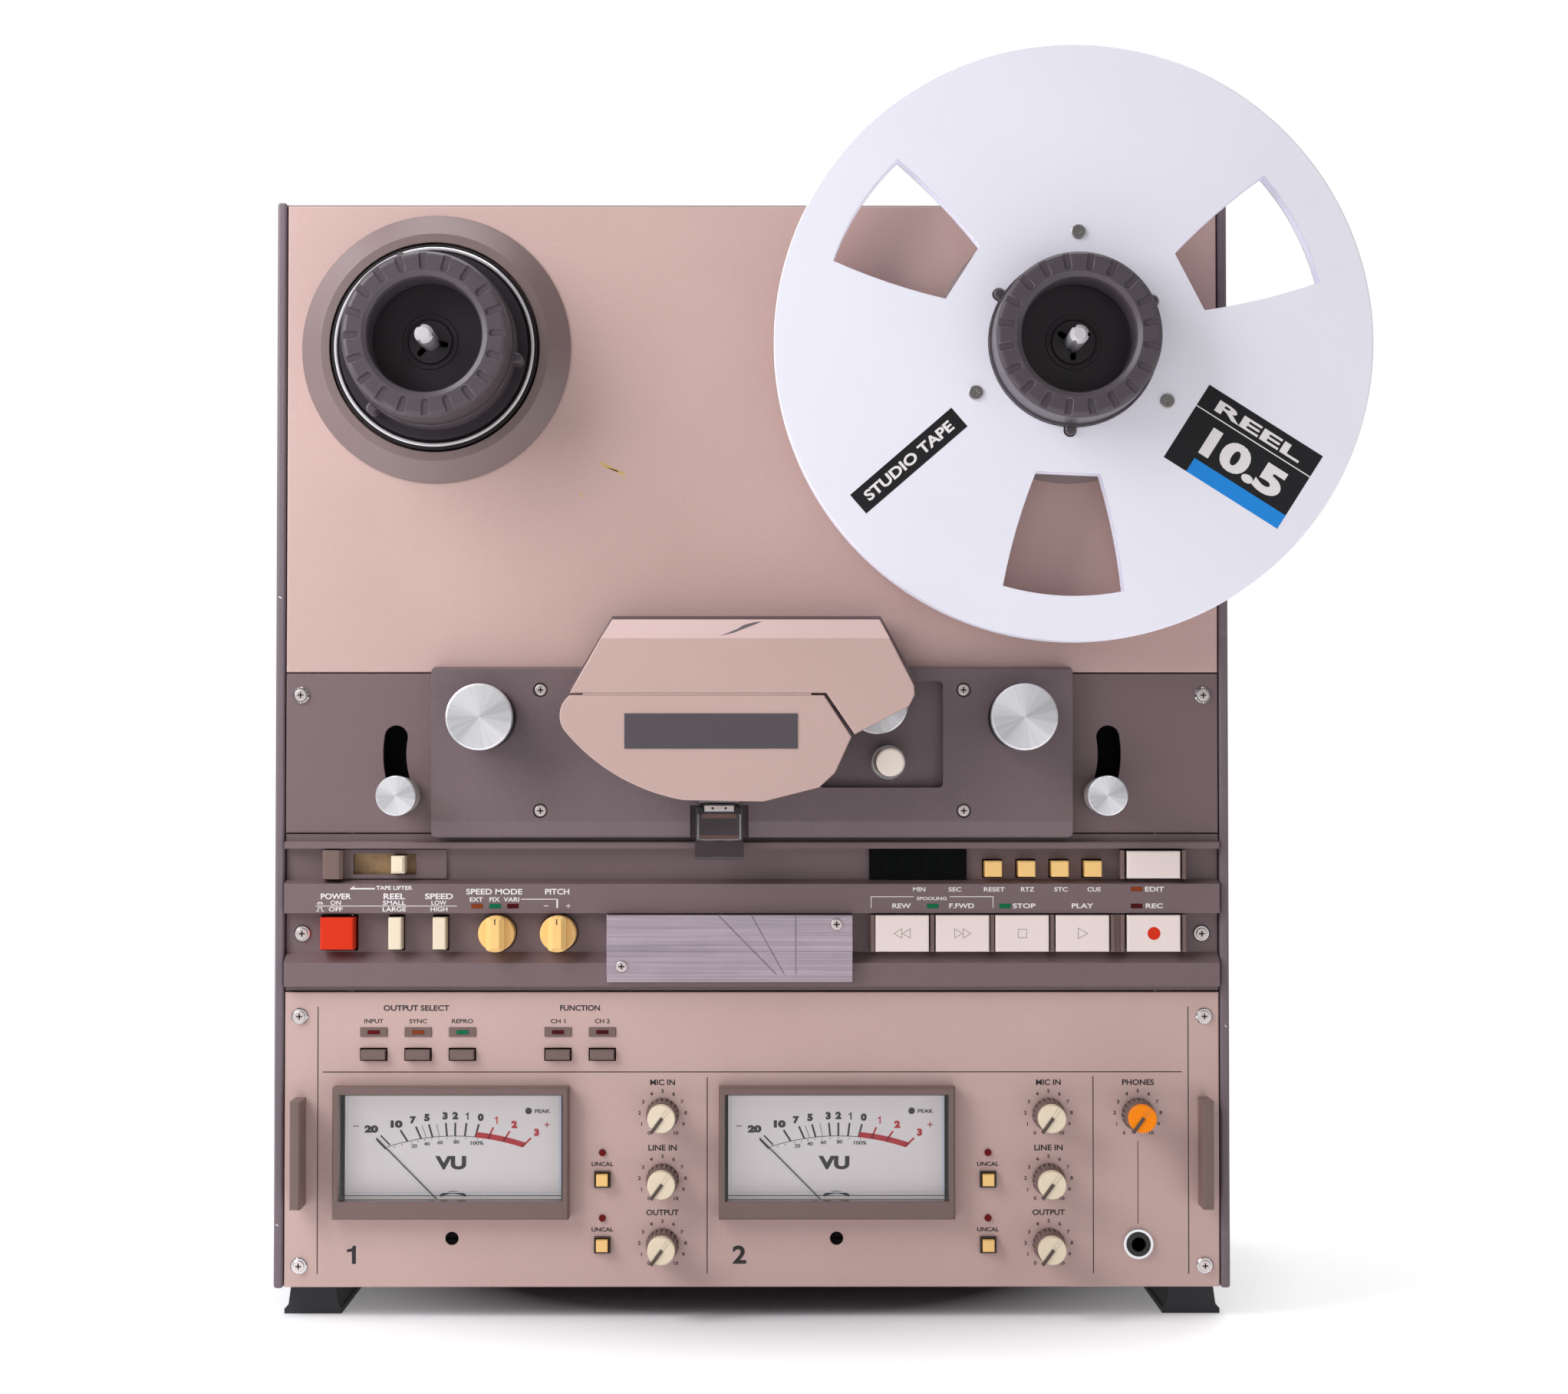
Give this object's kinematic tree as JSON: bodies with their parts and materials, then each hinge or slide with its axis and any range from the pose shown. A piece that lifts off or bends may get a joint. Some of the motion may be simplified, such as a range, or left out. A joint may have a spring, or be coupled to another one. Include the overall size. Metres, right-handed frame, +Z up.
{
  "type": "reel to reel tape deck",
  "caption": "Upright open-reel tape recorder with hub turntables, a metal reel, tape path, transport keys, level knobs and needle meters.",
  "frame": {"origin": "bottom centre of the whole machine's box, on the floor", "axes": "+Z up, -Y out of the front towards the user, +X to the user's right"},
  "size_m": [0.4914, 0.2846, 0.5698],
  "materials": {
    "cabinet_brown": "fine texture",
    "panel_cream": "fine texture",
    "panel_dark": "fine texture",
    "zinc_sheet": "satin",
    "aluminium": "spun",
    "black_plastic": "matte",
    "brown_plastic": "matte",
    "cream_plastic": "satin",
    "yellow_plastic": "satin",
    "key_white": "satin",
    "red_plastic": "satin",
    "orange_plastic": "satin",
    "cover_cream": "fine texture",
    "chrome": "polished",
    "steel": "satin",
    "rubber": "matte",
    "meter": "matte",
    "needle": "matte",
    "motor": "satin",
    "board": "matte"
  },
  "bodies": {
    "cabinet": {"cabinet_shell": "cabinet_brown", "rear_panel": "zinc_sheet", "feet": "rubber", "deck_panel": "panel_cream", "transport_panel": "panel_dark", "head_block": "panel_dark", "head_cover": "cover_cream", "control_panel": "panel_dark", "amplifier_panel": "panel_cream", "vu_meters": "meter", "drive_motors": "motor", "circuit_boards": "board", "fasteners": "steel"},
    "supply_turntable": {"supply_turntable": "black_plastic"},
    "supply_hub_adapter": {"supply_hub_adapter": "black_plastic"},
    "supply_tension_arm": {"supply_tension_arm": "aluminium"},
    "supply_guide_roller": {"supply_guide_roller": "aluminium"},
    "takeup_turntable": {"takeup_turntable": "black_plastic"},
    "takeup_hub_adapter": {"takeup_hub_adapter": "black_plastic"},
    "takeup_tension_arm": {"takeup_tension_arm": "aluminium"},
    "takeup_guide_roller": {"takeup_guide_roller": "aluminium"},
    "tape_reel": {"tape_reel": "aluminium"},
    "capstan": {"capstan": "steel"},
    "pinch_roller": {"pinch_roller": "rubber"},
    "head_cover_door": {"head_cover_door": "cover_cream"},
    "head_shield": {"head_shield": "chrome"},
    "lifter_slider": {"lifter_slider": "cream_plastic"},
    "power_button": {"power_button": "red_plastic"},
    "reel_size_button": {"reel_size_button": "cream_plastic"},
    "speed_button": {"speed_button": "cream_plastic"},
    "rewind_key": {"rewind_key": "key_white"},
    "fast_forward_key": {"fast_forward_key": "key_white"},
    "stop_key": {"stop_key": "key_white"},
    "play_key": {"play_key": "key_white"},
    "record_key": {"record_key": "key_white"},
    "edit_key": {"edit_key": "key_white"},
    "counter_reset_button": {"counter_reset_button": "yellow_plastic"},
    "return_zero_button": {"return_zero_button": "yellow_plastic"},
    "search_button": {"search_button": "yellow_plastic"},
    "cue_button": {"cue_button": "yellow_plastic"},
    "output_input_button": {"output_input_button": "brown_plastic"},
    "output_sync_button": {"output_sync_button": "brown_plastic"},
    "output_repro_button": {"output_repro_button": "brown_plastic"},
    "function_button_1": {"function_button_1": "brown_plastic"},
    "function_button_2": {"function_button_2": "brown_plastic"},
    "mic_uncal_button_1": {"mic_uncal_button_1": "yellow_plastic"},
    "output_uncal_button_1": {"output_uncal_button_1": "yellow_plastic"},
    "mic_uncal_button_2": {"mic_uncal_button_2": "yellow_plastic"},
    "output_uncal_button_2": {"output_uncal_button_2": "yellow_plastic"},
    "mode_knob": {"mode_knob": "yellow_plastic"},
    "pitch_knob": {"pitch_knob": "yellow_plastic"},
    "mic_level_knob_1": {"mic_level_knob_1": "cream_plastic"},
    "line_level_knob_1": {"line_level_knob_1": "cream_plastic"},
    "output_level_knob_1": {"output_level_knob_1": "cream_plastic"},
    "mic_level_knob_2": {"mic_level_knob_2": "cream_plastic"},
    "line_level_knob_2": {"line_level_knob_2": "cream_plastic"},
    "output_level_knob_2": {"output_level_knob_2": "cream_plastic"},
    "phones_level_knob": {"phones_level_knob": "orange_plastic"},
    "meter_needle_1": {"meter_needle_1": "needle"},
    "meter_needle_2": {"meter_needle_2": "needle"}
  },
  "joints": [
    {"name": "supply_turntable_spin", "type": "hinge", "parent": "cabinet", "child": "supply_turntable", "pos_m": [-0.17367, -0.09075, 0.4365], "axis": [0, 1, 0], "continuous": true},
    {"name": "supply_hub_adapter_lift", "type": "slide", "parent": "supply_turntable", "child": "supply_hub_adapter", "axis": [0, -1, 0], "range_m": [0, 0.06]},
    {"name": "supply_tension_arm_swing", "type": "hinge", "parent": "cabinet", "child": "supply_tension_arm", "pos_m": [-0.14818, -0.09075, 0.2535], "axis": [0, 1, 0], "range_deg": [0, 35]},
    {"name": "supply_guide_roller_spin", "type": "hinge", "parent": "cabinet", "child": "supply_guide_roller", "pos_m": [-0.15068, -0.09075, 0.2697], "axis": [0, 1, 0], "continuous": true},
    {"name": "takeup_turntable_spin", "type": "hinge", "parent": "cabinet", "child": "takeup_turntable", "pos_m": [0.11232, -0.09075, 0.4365], "axis": [0, 1, 0], "continuous": true},
    {"name": "takeup_hub_adapter_lift", "type": "slide", "parent": "takeup_turntable", "child": "takeup_hub_adapter", "axis": [0, -1, 0], "range_m": [0, 0.06]},
    {"name": "takeup_tension_arm_swing", "type": "hinge", "parent": "cabinet", "child": "takeup_tension_arm", "pos_m": [0.08682, -0.09075, 0.2535], "axis": [0, -1, 0], "range_deg": [0, 35]},
    {"name": "takeup_guide_roller_spin", "type": "hinge", "parent": "cabinet", "child": "takeup_guide_roller", "pos_m": [0.08933, -0.09075, 0.2697], "axis": [0, 1, 0], "continuous": true},
    {"name": "tape_reel_lift", "type": "slide", "parent": "takeup_hub_adapter", "child": "tape_reel", "axis": [0, -1, 0], "range_m": [0, 0.06]},
    {"name": "capstan_spin", "type": "hinge", "parent": "cabinet", "child": "capstan", "pos_m": [0.03043, -0.09075, 0.2498], "axis": [0, 1, 0], "continuous": true},
    {"name": "pinch_roller_swing", "type": "hinge", "parent": "cabinet", "child": "pinch_roller", "pos_m": [-0.01268, -0.09075, 0.284], "axis": [0, 1, 0], "range_deg": [0, 22.6]},
    {"name": "head_cover_door_lift", "type": "hinge", "parent": "cabinet", "child": "head_cover_door", "pos_m": [-0.05468, -0.13235, 0.2796], "axis": [-1, 0, 0], "range_deg": [0, 100]},
    {"name": "head_shield_fold", "type": "hinge", "parent": "cabinet", "child": "head_shield", "pos_m": [-0.04537, -0.10215, 0.2296], "axis": [-1, 0, 0], "range_deg": [0, 80]},
    {"name": "tape_lifter_slide", "type": "slide", "parent": "cabinet", "child": "lifter_slider", "axis": [-1, 0, 0], "range_m": [0, 0.017]},
    {"name": "power_button_press", "type": "slide", "parent": "cabinet", "child": "power_button", "axis": [0, 1, 0], "range_m": [0, 0.003]},
    {"name": "reel_size_button_press", "type": "slide", "parent": "cabinet", "child": "reel_size_button", "axis": [0, 1, 0], "range_m": [0, 0.0025]},
    {"name": "speed_button_press", "type": "slide", "parent": "cabinet", "child": "speed_button", "axis": [0, 1, 0], "range_m": [0, 0.0025]},
    {"name": "rewind_key_press", "type": "slide", "parent": "cabinet", "child": "rewind_key", "axis": [0, 1, 0], "range_m": [0, 0.0025]},
    {"name": "fast_forward_key_press", "type": "slide", "parent": "cabinet", "child": "fast_forward_key", "axis": [0, 1, 0], "range_m": [0, 0.0025]},
    {"name": "stop_key_press", "type": "slide", "parent": "cabinet", "child": "stop_key", "axis": [0, 1, 0], "range_m": [0, 0.0025]},
    {"name": "play_key_press", "type": "slide", "parent": "cabinet", "child": "play_key", "axis": [0, 1, 0], "range_m": [0, 0.0025]},
    {"name": "record_key_press", "type": "slide", "parent": "cabinet", "child": "record_key", "axis": [0, 1, 0], "range_m": [0, 0.0025]},
    {"name": "edit_key_press", "type": "slide", "parent": "cabinet", "child": "edit_key", "axis": [0, 1, 0], "range_m": [0, 0.0025]},
    {"name": "counter_reset_button_press", "type": "slide", "parent": "cabinet", "child": "counter_reset_button", "axis": [0, 1, 0], "range_m": [0, 0.002]},
    {"name": "return_zero_button_press", "type": "slide", "parent": "cabinet", "child": "return_zero_button", "axis": [0, 1, 0], "range_m": [0, 0.002]},
    {"name": "search_button_press", "type": "slide", "parent": "cabinet", "child": "search_button", "axis": [0, 1, 0], "range_m": [0, 0.002]},
    {"name": "cue_button_press", "type": "slide", "parent": "cabinet", "child": "cue_button", "axis": [0, 1, 0], "range_m": [0, 0.002]},
    {"name": "output_input_button_press", "type": "slide", "parent": "cabinet", "child": "output_input_button", "axis": [0, 1, 0], "range_m": [0, 0.0015]},
    {"name": "output_sync_button_press", "type": "slide", "parent": "cabinet", "child": "output_sync_button", "axis": [0, 1, 0], "range_m": [0, 0.0015]},
    {"name": "output_repro_button_press", "type": "slide", "parent": "cabinet", "child": "output_repro_button", "axis": [0, 1, 0], "range_m": [0, 0.0015]},
    {"name": "function_button_1_press", "type": "slide", "parent": "cabinet", "child": "function_button_1", "axis": [0, 1, 0], "range_m": [0, 0.0015]},
    {"name": "function_button_2_press", "type": "slide", "parent": "cabinet", "child": "function_button_2", "axis": [0, 1, 0], "range_m": [0, 0.0015]},
    {"name": "mic_uncal_button_1_press", "type": "slide", "parent": "cabinet", "child": "mic_uncal_button_1", "axis": [0, 1, 0], "range_m": [0, 0.002]},
    {"name": "output_uncal_button_1_press", "type": "slide", "parent": "cabinet", "child": "output_uncal_button_1", "axis": [0, 1, 0], "range_m": [0, 0.002]},
    {"name": "mic_uncal_button_2_press", "type": "slide", "parent": "cabinet", "child": "mic_uncal_button_2", "axis": [0, 1, 0], "range_m": [0, 0.002]},
    {"name": "output_uncal_button_2_press", "type": "slide", "parent": "cabinet", "child": "output_uncal_button_2", "axis": [0, 1, 0], "range_m": [0, 0.002]},
    {"name": "speed_mode_turn", "type": "hinge", "parent": "cabinet", "child": "mode_knob", "pos_m": [-0.14558, -0.09075, 0.1729], "axis": [0, 1, 0], "range_deg": [-30, 30]},
    {"name": "pitch_turn", "type": "hinge", "parent": "cabinet", "child": "pitch_knob", "pos_m": [-0.11787, -0.09075, 0.1729], "axis": [0, 1, 0], "range_deg": [-120, 120]},
    {"name": "mic_level_1_turn", "type": "hinge", "parent": "cabinet", "child": "mic_level_knob_1", "pos_m": [-0.07097, -0.09075, 0.0914], "axis": [0, 1, 0], "range_deg": [0, 288]},
    {"name": "line_level_1_turn", "type": "hinge", "parent": "cabinet", "child": "line_level_knob_1", "pos_m": [-0.07097, -0.09075, 0.0621], "axis": [0, 1, 0], "range_deg": [0, 288]},
    {"name": "output_level_1_turn", "type": "hinge", "parent": "cabinet", "child": "output_level_knob_1", "pos_m": [-0.07097, -0.09075, 0.0331], "axis": [0, 1, 0], "range_deg": [0, 288]},
    {"name": "mic_level_2_turn", "type": "hinge", "parent": "cabinet", "child": "mic_level_knob_2", "pos_m": [0.10272, -0.09075, 0.0914], "axis": [0, 1, 0], "range_deg": [0, 288]},
    {"name": "line_level_2_turn", "type": "hinge", "parent": "cabinet", "child": "line_level_knob_2", "pos_m": [0.10272, -0.09075, 0.0621], "axis": [0, 1, 0], "range_deg": [0, 288]},
    {"name": "output_level_2_turn", "type": "hinge", "parent": "cabinet", "child": "output_level_knob_2", "pos_m": [0.10272, -0.09075, 0.0331], "axis": [0, 1, 0], "range_deg": [0, 288]},
    {"name": "phones_level_turn", "type": "hinge", "parent": "cabinet", "child": "phones_level_knob", "pos_m": [0.14292, -0.09075, 0.0914], "axis": [0, 1, 0], "range_deg": [0, 288]},
    {"name": "meter_needle_1_swing", "type": "hinge", "parent": "cabinet", "child": "meter_needle_1", "pos_m": [-0.16557, -0.09075, 0.0456], "axis": [0, 1, 0], "range_deg": [0, 90]},
    {"name": "meter_needle_2_swing", "type": "hinge", "parent": "cabinet", "child": "meter_needle_2", "pos_m": [0.00732, -0.09075, 0.0456], "axis": [0, 1, 0], "range_deg": [0, 90]}
  ]
}
